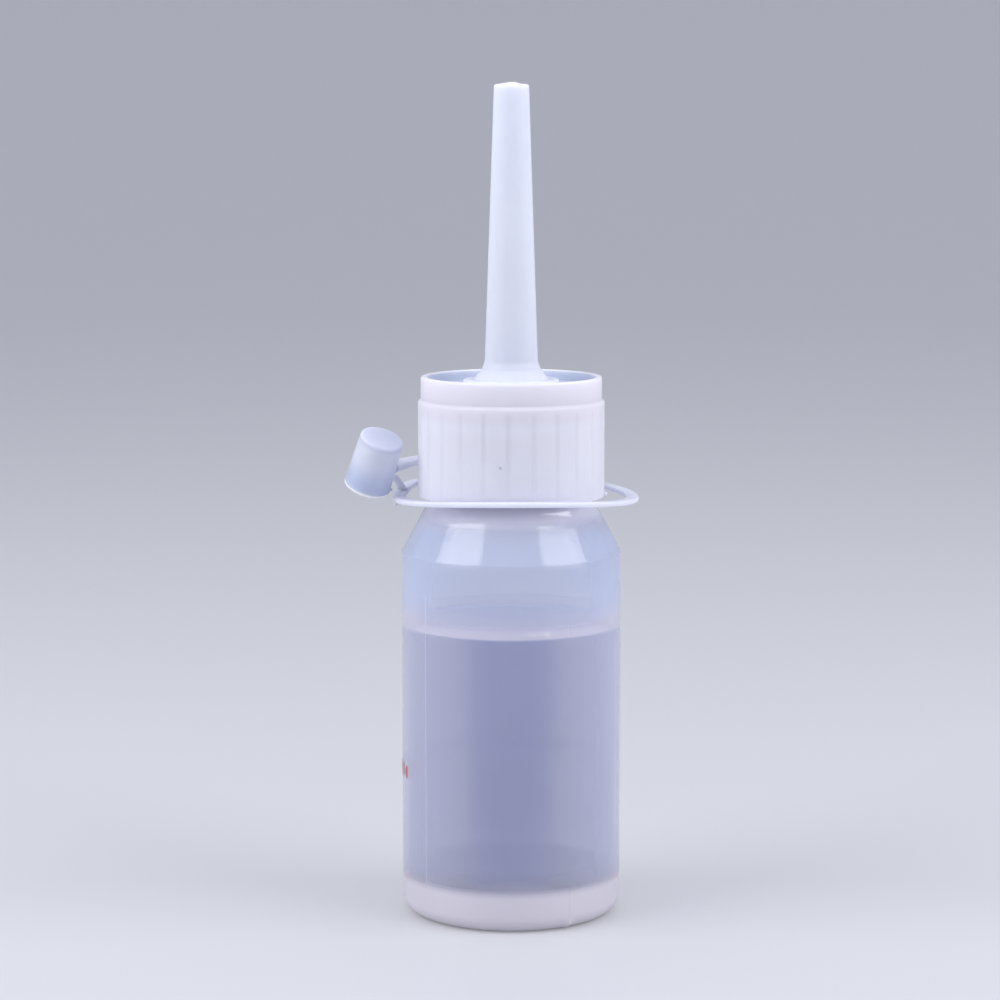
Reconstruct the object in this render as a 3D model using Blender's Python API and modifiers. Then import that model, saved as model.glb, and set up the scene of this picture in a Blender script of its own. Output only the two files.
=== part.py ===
"""Glue applicator bottle: squeeze bottle, long push-in nozzle, screw cap and tethered tip cap.

The bottle stands on Z = 0 with its axis on +Z. The tip cap hangs on the -X side, the viewer's
side is -Y. Driving sizes are in millimetres and are turned into metres where meshes are made.
"""

import math

import bmesh
import bpy
from mathutils import Matrix, Vector

MM = 0.001
GAP = 0.3                       # clearance between neighbouring pieces

# Bottle
BODY_RADIUS = 16.0
BAND_RADIUS = 15.84             # plain band between the label panel and the shoulder
WALL = 1.0
BASE_THICKNESS = 1.6
BASE_FILLET = 3.6
STEP_Z = 49.0                   # upper edge of the body below the plain band
PANEL_RADIUS = 15.6             # shallow recess that the label lies in
PANEL_Z = (4.9, 48.6)
SHOULDER_Z = 52.8
SHOULDER_ROUND = 0.5
NECK_RADIUS = 10.75
NECK_Z = 62.5                   # where the shoulder cone meets the neck
BORE_RADIUS = 9.35
LIP_Z = 74.2

# Label: a clear film round the back, open at the front
LABEL_THICKNESS = 0.1
LABEL_Z = (5.6, 47.9)
LABEL_START = -20.0             # degrees round from +X
LABEL_SWEEP = 240.5

# Thread, shared by the neck and the screw cap
PITCH = 3.175
THREAD_RADIUS = 12.0
THREAD_START_Z = 65.2           # middle of the neck thread at angle 0
THREAD_TURNS = 1.5
THREAD_FADE = 20.0              # degrees over which a thread end runs out
RIDGE_ROOT = 1.7                # ridge width where it leaves its wall
RIDGE_CREST = 0.9

# Glue
FILL_Z = 42.3
MENISCUS = 0.35

# Screw cap
CAP_BOTTOM_Z = 60.9
CAP_TOP_Z = 78.2
RIM_RADIUS = 13.05
SKIRT_RADIUS = 13.45
SKIRT_TOP_Z = 74.7
PANEL_TOP_Z = 76.8
PANEL_BOTTOM_Z = 75.6
RECESS_RADIUS = 12.1
CAP_BORE_RADIUS = 12.35
CAP_THREAD_RADIUS = 11.1
RIB_COUNT = 24
RIB_RELIEF = 0.14
RIB_GROOVE = 0.8
RIB_TOP_Z = 73.7
PORT_RADIUS = 7.2               # hole in the panel that the nozzle comes through

# Nozzle
BOSS_RADIUS = PORT_RADIUS - GAP
BOSS_Z = 77.65
FLANGE_RADIUS = 10.4
PLUG_BOTTOM_Z = 70.6
FLARE_RADIUS = 5.25
SPOUT_BASE_Z = 80.3
SPOUT_BASE_RADIUS = 3.82
TIP_RADIUS = 2.49
TIP_Z = 120.1
TIP_ROUND = 0.5
ORIFICE_RADIUS = 1.0

# Tether: a flat band in a ring round the skirt, and a strap that climbs behind it
BAND_WIDTH = 1.9
BAND_THICKNESS = 1.1
RING_RADIUS = 16.9              # middle of the band
RING_CENTRE = (0.68, 2.35)
RING_Z = 60.15                  # middle of the band at its two low sides
RING_LIFT = 0.6                 # how far the front and back rise above the sides
STRAP_START = 40.0              # degrees round from +X
STRAP_END = 173.0
STRAP_RADIUS = 16.7
STRAP_Z = 64.8
TIE_WIDTH = 1.0
TIE_THICKNESS = 0.8
TIE_START = (-15.9, 5.2, 61.55)
TIE_END = (-17.3, 4.8, 63.2)

# Tip cap
TIP_CAP_CENTRE = (-19.7, -0.9, 65.85)
TIP_CAP_AXIS = (0.283, -0.360, 0.889)   # towards the closed end
TIP_CAP_LENGTH = 8.2
TIP_CAP_TOP_RADIUS = 3.05
TIP_CAP_MOUTH_RADIUS = 3.45
TIP_CAP_WALL = 0.6
TIP_CAP_ROOF = 0.9
TIP_CAP_HINGE = (-16.55, 1.6, 64.8)

STEPS_BODY = 48
STEPS_CAP = 72
STEPS_NOZZLE = 32
STEPS_TIP_CAP = 24
STEPS_THREAD = 32               # sections in one turn of thread
STEPS_STRAP = 20
STEPS_LABEL = 48


def clear_scene():
    for old in list(bpy.data.objects):
        bpy.data.objects.remove(old, do_unlink=True)


def new_collection(name):
    collection = bpy.data.collections.new(name)
    bpy.context.scene.collection.children.link(collection)
    return collection


def plastic(name, colour, roughness, alpha=1.0):
    """A plain moulded plastic or liquid."""
    material = bpy.data.materials.new(name)
    material.use_nodes = True
    shader = material.node_tree.nodes["Principled BSDF"]
    shader.inputs["Base Color"].default_value = (*colour, 1.0)
    shader.inputs["Roughness"].default_value = roughness
    shader.inputs["Metallic"].default_value = 0.0
    shader.inputs["Alpha"].default_value = alpha
    return material


def body_plastic():
    return plastic("milky_plastic", (0.62, 0.65, 0.76), 0.32)


def liquid():
    return plastic("clear_glue", (0.75, 0.76, 0.80), 0.08)


def clear_film():
    return plastic("clear_film", (0.86, 0.87, 0.92), 0.12, 0.35)


def nozzle_plastic():
    return plastic("natural_plastic", (0.80, 0.81, 0.90), 0.38)


def cap_plastic():
    return plastic("cap_plastic", (0.82, 0.82, 0.90), 0.36)


def tether_plastic():
    return plastic("tether_plastic", (0.80, 0.80, 0.88), 0.40)


def tip_cap_plastic():
    return plastic("tip_cap_plastic", (0.72, 0.76, 0.88), 0.40)


def add_object(name, mesh, collection, material=None):
    piece = bpy.data.objects.new(name, mesh)
    collection.objects.link(piece)
    if material:
        mesh.materials.append(material)
    return piece


def make_cutter(piece):
    piece.hide_render = True
    piece.display_type = "WIRE"


def arc(centre_r, centre_z, radius, start, end, count):
    """Points of a circular arc in the profile plane, from start to end degrees."""
    angles = [math.radians(start + (end - start) * i / count) for i in range(count + 1)]
    return [(centre_r + radius * math.cos(a), centre_z + radius * math.sin(a)) for a in angles]


def turned(name, profile, steps, collection, material, closed):
    """A turned piece: the profile (radius, z) runs down its outer side."""
    mesh = bpy.data.meshes.new(name)
    points = [(r * MM, 0.0, z * MM) for r, z in profile]
    edges = [(i, i + 1) for i in range(len(points) - 1)]
    if closed:
        edges.append((len(points) - 1, 0))
    mesh.from_pydata(points, edges, [])
    piece = add_object(name, mesh, collection, material)
    screw = piece.modifiers.new("Turn", "SCREW")
    screw.axis = "Z"
    screw.steps = steps
    screw.render_steps = steps
    screw.use_merge_vertices = True
    screw.merge_threshold = 0.00001
    screw.use_smooth_shade = True
    return piece


def boolean(piece, tool, operation):
    make_cutter(tool)
    modifier = piece.modifiers.new(operation.title(), "BOOLEAN")
    modifier.operation = operation
    modifier.solver = "EXACT"
    modifier.object = tool


def closed_shell(mesh, sections, loop):
    """Skin equal sections in a row; loop joins the last to the first, else the ends are capped."""
    work = bmesh.new()
    rows = [[work.verts.new(Vector(p) * MM) for p in section] for section in sections]
    pairs = list(zip(rows, rows[1:]))
    if loop:
        pairs.append((rows[-1], rows[0]))
    size = len(rows[0])
    for first, second in pairs:
        for i in range(size):
            j = (i + 1) % size
            work.faces.new((first[i], first[j], second[j], second[i]))
    if not loop:
        work.faces.new(rows[0])
        work.faces.new(list(reversed(rows[-1])))
    bmesh.ops.recalc_face_normals(work, faces=work.faces)
    work.to_mesh(mesh)
    work.free()


def thread_ridge(name, root_radius, crest_radius, start_z, first, last, collection):
    """A right-hand thread ridge from first to last degrees, fading into its wall at both ends."""
    sections = []
    count = round(STEPS_THREAD * (last - first) / 360.0)
    for i in range(count + 1):
        angle = first + (last - first) * i / count
        fade = min(1.0, (angle - first) / THREAD_FADE, (last - angle) / THREAD_FADE)
        crest = root_radius + (crest_radius - root_radius) * max(fade, 0.05)
        middle = start_z + PITCH * angle / 360.0
        turn = math.radians(angle)
        corners = [
            (root_radius, middle - RIDGE_ROOT / 2),
            (crest, middle - RIDGE_CREST / 2),
            (crest, middle + RIDGE_CREST / 2),
            (root_radius, middle + RIDGE_ROOT / 2),
        ]
        sections.append([(r * math.cos(turn), r * math.sin(turn), z) for r, z in corners])
    mesh = bpy.data.meshes.new(name)
    closed_shell(mesh, sections, loop=False)
    return add_object(name, mesh, collection)


def shoulder_radius(z):
    """Outer radius of the shoulder cone at height z."""
    slope = (BAND_RADIUS - 0.3 - NECK_RADIUS) / (NECK_Z - SHOULDER_Z - 0.6)
    return NECK_RADIUS + slope * (NECK_Z - z)


def bottle_body(parts, cutters):
    """Blow-moulded shell with an open neck; the thread is joined to its outside."""
    inner_floor = BODY_RADIUS - WALL
    inner_round = BASE_FILLET - 1.2
    inner_shoulder = SHOULDER_Z - 0.9
    cone_foot = SHOULDER_Z + 0.55
    profile = [(0.0, BASE_THICKNESS)]
    profile += arc(inner_floor - inner_round, BASE_THICKNESS + inner_round, inner_round, -90, 0, 6)
    profile += [(inner_floor, STEP_Z - 0.6), (BAND_RADIUS - WALL, STEP_Z), (BAND_RADIUS - WALL, inner_shoulder)]
    profile += [(shoulder_radius(cone_foot) - WALL - 0.15, cone_foot - 0.3)]
    profile += [(BORE_RADIUS, NECK_Z - 0.4), (BORE_RADIUS, LIP_Z - 0.3), (BORE_RADIUS + 0.3, LIP_Z)]
    profile += arc(NECK_RADIUS - 0.4, LIP_Z - 0.4, 0.4, 90, 0, 3)
    profile += [(NECK_RADIUS, NECK_Z)]
    profile += [(shoulder_radius(cone_foot), cone_foot)]
    profile += arc(BAND_RADIUS - SHOULDER_ROUND, SHOULDER_Z, SHOULDER_ROUND, 45, 0, 3)
    profile += [(BAND_RADIUS, STEP_Z + 0.1), (BODY_RADIUS, STEP_Z - 0.1), (BODY_RADIUS, PANEL_Z[1])]
    profile += [(PANEL_RADIUS, PANEL_Z[1] - 0.3), (PANEL_RADIUS, PANEL_Z[0] + 0.3), (BODY_RADIUS, PANEL_Z[0])]
    profile += arc(BODY_RADIUS - BASE_FILLET, BASE_FILLET, BASE_FILLET, 0, -90, 8)
    profile += [(0.0, 0.0)]
    body = turned("bottle_body", profile, STEPS_BODY, parts, body_plastic(), closed=False)
    root = NECK_RADIUS - 0.25
    last = 360.0 * THREAD_TURNS
    ridge = thread_ridge("neck_thread", root, THREAD_RADIUS, THREAD_START_Z, 0.0, last, cutters)
    boolean(body, ridge, "UNION")


def glue_fill(parts):
    """The glue in the bottle, with its surface drawn up a little at the wall."""
    radius = BODY_RADIUS - WALL - GAP
    floor = BASE_THICKNESS + GAP
    corner = BASE_FILLET - 1.2 - GAP
    profile = [(0.0, FILL_Z), (radius - 1.2, FILL_Z), (radius - 0.4, FILL_Z + MENISCUS / 3)]
    profile += [(radius, FILL_Z + MENISCUS)]
    profile += arc(radius - corner, floor + corner, corner, 0, -90, 6)
    profile += [(0.0, floor)]
    turned("glue_fill", profile, STEPS_BODY, parts, liquid(), closed=False)


def label(parts):
    """The clear film label, wrapped from the right front round the back to the left front."""
    inner = PANEL_RADIUS + GAP
    corners = [(r, z) for z in LABEL_Z for r in (inner, inner + LABEL_THICKNESS)]
    corners[2], corners[3] = corners[3], corners[2]
    sections = []
    for i in range(STEPS_LABEL + 1):
        turn = math.radians(LABEL_START + LABEL_SWEEP * i / STEPS_LABEL)
        sections.append([(r * math.cos(turn), r * math.sin(turn), z) for r, z in corners])
    mesh = bpy.data.meshes.new("label")
    closed_shell(mesh, sections, loop=False)
    add_object("label", mesh, parts, clear_film())


def rib_grooves(cutters):
    """Shallow upright grooves that leave broad ribs round the skirt."""
    work = bmesh.new()
    height = RIB_TOP_Z - CAP_BOTTOM_Z + 2.0
    depth = 1.0
    middle_z = RIB_TOP_Z - height / 2
    for i in range(RIB_COUNT):
        turn = Matrix.Rotation(math.radians(360.0 * (i + 0.5) / RIB_COUNT), 4, "Z")
        place = Matrix.Translation(Vector((SKIRT_RADIUS - RIB_RELIEF + depth / 2, 0.0, middle_z)) * MM)
        size = Matrix.Diagonal((depth * MM, RIB_GROOVE * MM, height * MM, 1.0))
        bmesh.ops.create_cube(work, size=1.0, matrix=turn @ place @ size)
    mesh = bpy.data.meshes.new("rib_grooves")
    work.to_mesh(mesh)
    work.free()
    return add_object("rib_grooves", mesh, cutters)


def screw_cap(parts, cutters):
    """Ribbed skirt with a sunk panel inside a thin rim, threaded inside."""
    profile = arc(RIM_RADIUS - 0.35, CAP_TOP_Z - 0.35, 0.35, 90, 0, 3)
    profile += [(RIM_RADIUS, SKIRT_TOP_Z + 0.35)]
    profile += arc(SKIRT_RADIUS - 0.4, SKIRT_TOP_Z - 0.4, 0.4, 90, 0, 4)
    profile += arc(SKIRT_RADIUS - 0.2, CAP_BOTTOM_Z + 0.2, 0.2, 0, -90, 2)
    profile += [(CAP_BORE_RADIUS + 0.3, CAP_BOTTOM_Z), (CAP_BORE_RADIUS, CAP_BOTTOM_Z + 0.5)]
    profile += [(CAP_BORE_RADIUS, 71.5), (CAP_BORE_RADIUS - 0.6, 72.2)]
    profile += [(CAP_BORE_RADIUS - 0.6, PANEL_BOTTOM_Z), (PORT_RADIUS, PANEL_BOTTOM_Z)]
    profile += [(PORT_RADIUS, PANEL_TOP_Z), (RECESS_RADIUS - 0.3, PANEL_TOP_Z)]
    profile += [(RECESS_RADIUS, PANEL_TOP_Z + 0.3), (RECESS_RADIUS, CAP_TOP_Z - 0.2)]
    profile += [(RECESS_RADIUS + 0.2, CAP_TOP_Z)]
    cap = turned("screw_cap", profile, STEPS_CAP, parts, cap_plastic(), closed=True)
    boolean(cap, rib_grooves(cutters), "DIFFERENCE")
    root = CAP_BORE_RADIUS + 0.25
    start_z = THREAD_START_Z - PITCH / 2
    ridge = thread_ridge("cap_thread", root, CAP_THREAD_RADIUS, start_z, 30.0, 480.0, cutters)
    boolean(cap, ridge, "UNION")


def nozzle(parts):
    """Push-in insert: a plug for the neck, a flange that seals on its lip, and the long spout."""
    flange_bottom = LIP_Z + GAP
    flange_top = PANEL_BOTTOM_Z - GAP
    plug_radius = BORE_RADIUS - GAP
    profile = arc(TIP_RADIUS - TIP_ROUND, TIP_Z - TIP_ROUND, TIP_ROUND, 90, 0, 4)
    profile += [(SPOUT_BASE_RADIUS, SPOUT_BASE_Z), (SPOUT_BASE_RADIUS + 0.45, SPOUT_BASE_Z - 1.1)]
    profile += [(FLARE_RADIUS, BOSS_Z + 0.25), (FLARE_RADIUS + 0.5, BOSS_Z)]
    profile += [(BOSS_RADIUS - 0.2, BOSS_Z), (BOSS_RADIUS, BOSS_Z - 0.2), (BOSS_RADIUS, flange_top)]
    profile += [(FLANGE_RADIUS, flange_top), (FLANGE_RADIUS, flange_bottom)]
    profile += [(plug_radius, flange_bottom), (plug_radius, PLUG_BOTTOM_Z + 0.8)]
    profile += [(plug_radius - 0.25, PLUG_BOTTOM_Z), (plug_radius - 1.0, PLUG_BOTTOM_Z)]
    profile += [(plug_radius - 1.0, flange_bottom - 0.4), (plug_radius - 2.0, flange_bottom + 0.5)]
    profile += [(FLARE_RADIUS - 0.6, BOSS_Z - 1.4), (SPOUT_BASE_RADIUS - 0.9, SPOUT_BASE_Z)]
    profile += [(ORIFICE_RADIUS, TIP_Z - 4.0), (ORIFICE_RADIUS, TIP_Z)]
    turned("nozzle", profile, STEPS_NOZZLE, parts, nozzle_plastic(), closed=True)


def band(name, centre_line, loop, width, thickness, parts, material):
    """A flat moulded band along centre_line, its width lying level across its run."""
    sections = []
    count = len(centre_line)
    for i, point in enumerate(centre_line):
        before = centre_line[i - 1] if loop or i else point
        after = centre_line[(i + 1) % count] if loop or i < count - 1 else point
        run = (Vector(after) - Vector(before)).normalized()
        across = run.cross(Vector((0.0, 0.0, 1.0))).normalized()
        up = across.cross(run)
        middle = Vector(point)
        corners = ((-1, -1), (1, -1), (1, 1), (-1, 1))
        sections.append([middle + across * a * width / 2 + up * b * thickness / 2 for a, b in corners])
    mesh = bpy.data.meshes.new(name)
    closed_shell(mesh, sections, loop)
    piece = add_object(name, mesh, parts, material)
    bevel = piece.modifiers.new("Edges", "BEVEL")
    bevel.width = 0.2 * MM
    bevel.segments = 1
    bevel.limit_method = "ANGLE"
    bevel.angle_limit = math.radians(50)
    return piece


def ring_height(angle):
    """The band's middle height: low at the two sides, higher at the front and back."""
    return RING_Z + RING_LIFT * math.sin(angle) ** 2


def tether_ring(parts, material):
    """The ring round the foot of the skirt."""
    points = []
    for i in range(STEPS_BODY):
        angle = 2 * math.pi * i / STEPS_BODY
        x = RING_CENTRE[0] + RING_RADIUS * math.cos(angle)
        y = RING_CENTRE[1] + RING_RADIUS * math.sin(angle)
        points.append((x, y, ring_height(angle)))
    band("tether_ring", points, True, BAND_WIDTH, BAND_THICKNESS, parts, material)


def strap_point(share):
    """A point of the strap: it leaves the ring at share 0 and reaches the tip cap at 1."""
    angle = math.radians(STRAP_START + (STRAP_END - STRAP_START) * share)
    blend = min(1.0, share / 0.6)
    blend = blend * blend * (3 - 2 * blend)
    root_radius = RING_RADIUS + RING_CENTRE[0] * math.cos(angle) + RING_CENTRE[1] * math.sin(angle)
    root_z = RING_Z + RING_LIFT + BAND_THICKNESS + GAP
    radius = root_radius + (STRAP_RADIUS - root_radius) * blend
    z = root_z + (STRAP_Z - root_z) * blend
    return (radius * math.cos(angle), radius * math.sin(angle), z)


def tether_strap(parts, material):
    """The strap: from above the ring, round behind the skirt and up to the tip cap."""
    points = [strap_point(i / STEPS_STRAP) for i in range(STEPS_STRAP + 1)]
    strap = band("tether_strap", points, False, BAND_WIDTH, BAND_THICKNESS, parts, material)
    hinge = Vector(strap_point(0.0)) * MM
    strap.data.transform(Matrix.Translation(-hinge))
    strap.location = hinge


def tether_tie(parts, material):
    """The short moulding tie that stands on the ring beside the tip cap."""
    band("tether_tie", [TIE_START, TIE_END], False, TIE_WIDTH, TIE_THICKNESS, parts, material)


def tip_cap(parts):
    """A tapered cup that plugs the nozzle's tip, hung mouth down on the strap's end."""
    half = TIP_CAP_LENGTH / 2
    edge = 0.3
    profile = [(0.0, half)]
    profile += arc(TIP_CAP_TOP_RADIUS - edge, half - edge, edge, 90, 0, 3)
    profile += arc(TIP_CAP_MOUTH_RADIUS - 0.15, 0.15 - half, 0.15, 0, -90, 2)
    profile += [(TIP_CAP_MOUTH_RADIUS - TIP_CAP_WALL + 0.1, -half)]
    profile += [(TIP_CAP_MOUTH_RADIUS - TIP_CAP_WALL, 0.3 - half)]
    profile += [(TIP_CAP_TOP_RADIUS - TIP_CAP_WALL, half - TIP_CAP_ROOF), (0.0, half - TIP_CAP_ROOF)]
    cap = turned("tip_cap", profile, STEPS_TIP_CAP, parts, tip_cap_plastic(), closed=False)
    hinge = add_object("tip_cap_hinge", None, parts)
    hinge.location = Vector(TIP_CAP_HINGE) * MM
    cap.parent = hinge
    cap.location = (Vector(TIP_CAP_CENTRE) - Vector(TIP_CAP_HINGE)) * MM
    cap.rotation_mode = "QUATERNION"
    cap.rotation_quaternion = Vector((0.0, 0.0, 1.0)).rotation_difference(Vector(TIP_CAP_AXIS))


def main():
    clear_scene()
    parts = new_collection("glue_applicator_bottle")
    cutters = new_collection("cutters")
    bottle_body(parts, cutters)
    glue_fill(parts)
    label(parts)
    nozzle(parts)
    screw_cap(parts, cutters)
    soft = tether_plastic()
    tether_ring(parts, soft)
    tether_strap(parts, soft)
    tether_tie(parts, soft)
    tip_cap(parts)


main()
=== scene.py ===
import math

import bmesh
import bpy
from mathutils import Matrix, Vector


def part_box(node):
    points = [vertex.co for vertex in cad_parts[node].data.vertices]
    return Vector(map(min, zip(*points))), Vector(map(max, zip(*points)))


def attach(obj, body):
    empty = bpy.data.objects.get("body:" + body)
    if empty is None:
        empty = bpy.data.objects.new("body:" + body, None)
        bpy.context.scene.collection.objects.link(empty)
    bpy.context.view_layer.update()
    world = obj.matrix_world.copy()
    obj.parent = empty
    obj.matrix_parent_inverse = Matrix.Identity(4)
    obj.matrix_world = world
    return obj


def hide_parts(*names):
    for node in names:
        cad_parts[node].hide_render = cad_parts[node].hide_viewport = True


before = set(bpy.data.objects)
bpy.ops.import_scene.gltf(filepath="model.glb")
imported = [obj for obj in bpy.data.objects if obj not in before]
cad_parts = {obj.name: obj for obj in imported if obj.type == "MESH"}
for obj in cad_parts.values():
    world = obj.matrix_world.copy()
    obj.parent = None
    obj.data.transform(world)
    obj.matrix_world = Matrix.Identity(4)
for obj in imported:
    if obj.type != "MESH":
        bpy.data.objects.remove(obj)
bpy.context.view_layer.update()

# ------------------------------------------------------------------ sizes, in millimetres
MM = 0.001
SHARP_ANGLE = math.radians(40.0)


def node_box(node):
    """A CAD node's lowest and highest corners, in millimetres."""
    low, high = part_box(node)
    return Vector(low) / MM, Vector(high) / MM


BOTTLE_HIGH = node_box("bottle_body")[1]
GLUE_HIGH = node_box("glue_fill")[1]
CAP_LOW, CAP_HIGH = node_box("screw_cap")
NOZZLE_LOW, NOZZLE_HIGH = node_box("nozzle")
RING_LOW, RING_HIGH = node_box("tether_ring")
STRAP_HIGH = node_box("tether_strap")[1]
LABEL_LOW, LABEL_HIGH = node_box("label")

BODY_RADIUS = BOTTLE_HIGH.x
LIP_Z = BOTTLE_HIGH.z
PANEL_RADIUS = BODY_RADIUS - 0.12   # the wall just under the label
WALL = 1.0
BASE_THICKNESS = 1.6
BASE_FILLET = 3.6
DOME_RADIUS = 11.0              # the base is pushed up inside this radius
DOME_RISE = 1.9
PANEL_STEP_Z = 49.0
PANEL_STEP_HALF = 1.6            # the wall steps out to the shoulder band over twice this height
PANEL_STEP_FILLET = 9.0
BAND_RADIUS = BODY_RADIUS - 0.16
SHOULDER_Z = 52.8
NECK_RADIUS = 10.75
NECK_Z = 62.5
BORE_RADIUS = 9.35
LABEL_START, LABEL_SWEEP = -20.0, 240.5
LABEL_THICKNESS = 0.05
LABEL_STEPS = 160
PARTING_ANGLE = -58.0           # degrees round from +X; the other half's line is opposite
PARTING_RIDGE = 0.05
PINCH_LIFT = 0.28               # the pinched-off tail of the parting line, at the foot

LIQUID_Z = GLUE_HIGH.z - 0.35    # the level away from the wall
GLUE_GAP = 0.06
DOT_Z = 21.2
DOT_RADIUS = 0.95
DOT_STEP = 10.0                 # degrees between printed dots
DOT_MIDDLE, DOT_REACH = 130.0, 90.0

PITCH = 3.175
THREAD_START_Z = 65.4
THREAD_TURNS = 1.6
NECK_THREAD_RADIUS = 11.05      # middle of the ridge
NECK_THREAD_SIZE = 0.72
CAP_THREAD_RADIUS = 12.3
CAP_THREAD_SIZE = 0.5

CAP_FOOT_Z = CAP_LOW.z
CAP_TOP_Z = CAP_HIGH.z
SKIRT_RADIUS = CAP_HIGH.x
RIM_RADIUS = 13.05
SKIRT_TOP_Z = 74.7
RIB_TOP_Z = 73.7
RIB_COUNT = 24
RIB_PHASE = math.radians(-92.0)
RIB_RELIEF = 0.07
PANEL_TOP_Z = 76.8
PANEL_BOTTOM_Z = 75.6
RECESS_RADIUS = 12.1
CAP_BORE = 12.35
CAP_STEP_Z = 71.8               # the bore narrows here, above its thread
CAP_STEP = 0.6
PORT_RADIUS = 7.2

TIP_Z = NOZZLE_HIGH.z
TIP_RADIUS = 2.49
SPOUT_BASE_Z = 80.3
SPOUT_BASE_RADIUS = 3.82
FLARE_RADIUS = 5.25
BOSS_Z = 77.75
FLANGE_RADIUS = NOZZLE_HIGH.x
NOZZLE_GAP = 0.3                # clear space round the nozzle, in the neck and the closure
PLUG_FOOT_Z = NOZZLE_LOW.z
ORIFICE_RADIUS = 1.0
TORN_DEPTH = 0.34               # the tip was cut by hand and keeps a lip at the back
TORN_REACH = 0.9

BAND_WIDTH = 1.9
BAND_THICKNESS = 0.95
RING_CENTRE = (RING_LOW + RING_HIGH) / 2
RING_RADIUS = (RING_HIGH.x - RING_LOW.x - BAND_WIDTH) / 2
RING_LIFT = 1.15                # the soft ring bows up at the front and back
RING_Z = 60.25
RING_KINK, RING_KINK_AT, RING_KINK_REACH = 0.95, 153.0, 22.0   # pulled up where the tie joins, degrees
RING_THICKNESS = 0.72
STRAP_START, STRAP_END = 40.0, 175.4
STRAP_RADIUS = 16.7
STRAP_REACH = 0.75              # its end runs out to meet the cup's wall
STRAP_Z = STRAP_HIGH.z - BAND_THICKNESS / 2
TIE_POINTS = ((-15.8, 5.3, 60.9), (-16.2, 5.2, 61.6), (-16.8, 5.0, 62.4), (-17.4, 4.8, 63.2))
TIE_WIDTH, TIE_THICKNESS = 1.9, 1.0

TIP_CAP_CENTRE = Vector((-19.7, -0.9, 65.85))
TIP_CAP_AXIS = Vector((0.283, -0.360, 0.889))
TIP_CAP_LENGTH = 8.3
TIP_CAP_TOP_RADIUS = 3.12
TIP_CAP_MOUTH_RADIUS = 3.42
TIP_CAP_WALL = 0.6
TIP_CAP_ROOF = 0.9


# ------------------------------------------------------------------ mesh makers
def add_object(name, mesh, material):
    piece = bpy.data.objects.new(name, mesh)
    bpy.context.scene.collection.objects.link(piece)
    mesh.materials.append(material)
    return piece


def shade(mesh):
    """Smooth all over, but for edges that turn more sharply than SHARP_ANGLE."""
    mesh.shade_smooth()
    mesh.set_sharp_from_angle(angle=SHARP_ANGLE)


def rounded(corners, closed=False, steps=6):
    """An outline through (radius, z, fillet) corners, each turned with its own fillet."""
    outline = []
    count = len(corners)
    for i, (r, z, fillet) in enumerate(corners):
        here = Vector((r, z))
        if fillet <= 0 or (not closed and i in (0, count - 1)):
            outline.append((r, z))
            continue
        back = Vector(corners[i - 1][:2]) - here
        ahead = Vector(corners[(i + 1) % count][:2]) - here
        half = back.angle(ahead) / 2
        reach = min(fillet / math.tan(half), back.length * 0.49, ahead.length * 0.49)
        radius = reach * math.tan(half)
        centre = here + (back.normalized() + ahead.normalized()).normalized() * radius / math.sin(half)
        start = here + back.normalized() * reach - centre
        sweep = start.angle_signed(here + ahead.normalized() * reach - centre)
        for k in range(steps + 1):
            turn = -sweep * k / steps
            c, s = math.cos(turn), math.sin(turn)
            outline.append((centre.x + start.x * c - start.y * s, centre.y + start.x * s + start.y * c))
    return outline


def even_angles(count):
    return [2 * math.pi * i / count for i in range(count)]


def turned(name, outline, angles, material, closed=False, shape=None):
    """A turned wall. shape(angle, radius, z) may return a point's own radius."""
    work = bmesh.new()
    rows = []
    for r, z in outline:
        if r < 1e-6:
            rows.append([work.verts.new((0.0, 0.0, z * MM))])
            continue
        row = []
        for angle in angles:
            radius = shape(angle, r, z) if shape else r
            row.append(work.verts.new((radius * math.cos(angle) * MM, radius * math.sin(angle) * MM, z * MM)))
        rows.append(row)
    pairs = list(zip(rows, rows[1:]))
    if closed:
        pairs.append((rows[-1], rows[0]))
    count = len(angles)
    for upper, lower in pairs:
        for i in range(count):
            j = (i + 1) % count
            above = [upper[i % len(upper)], upper[j % len(upper)]]
            below = [lower[j % len(lower)], lower[i % len(lower)]]
            work.faces.new(list(dict.fromkeys(above + below)))
    bmesh.ops.recalc_face_normals(work, faces=work.faces)
    mesh = bpy.data.meshes.new(name)
    work.to_mesh(mesh)
    work.free()
    shade(mesh)
    return add_object(name, mesh, material)


def band_section(width, thickness, corner, steps=4):
    """A rounded rectangle, as (across, up) points."""
    points = []
    for a, b, start in ((1, -1, -90), (1, 1, 0), (-1, 1, 90), (-1, -1, 180)):
        for k in range(steps + 1):
            turn = math.radians(start + 90.0 * k / steps)
            across = a * (width / 2 - corner) + corner * math.cos(turn)
            up = b * (thickness / 2 - corner) + corner * math.sin(turn)
            points.append((across, up))
    return points


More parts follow.
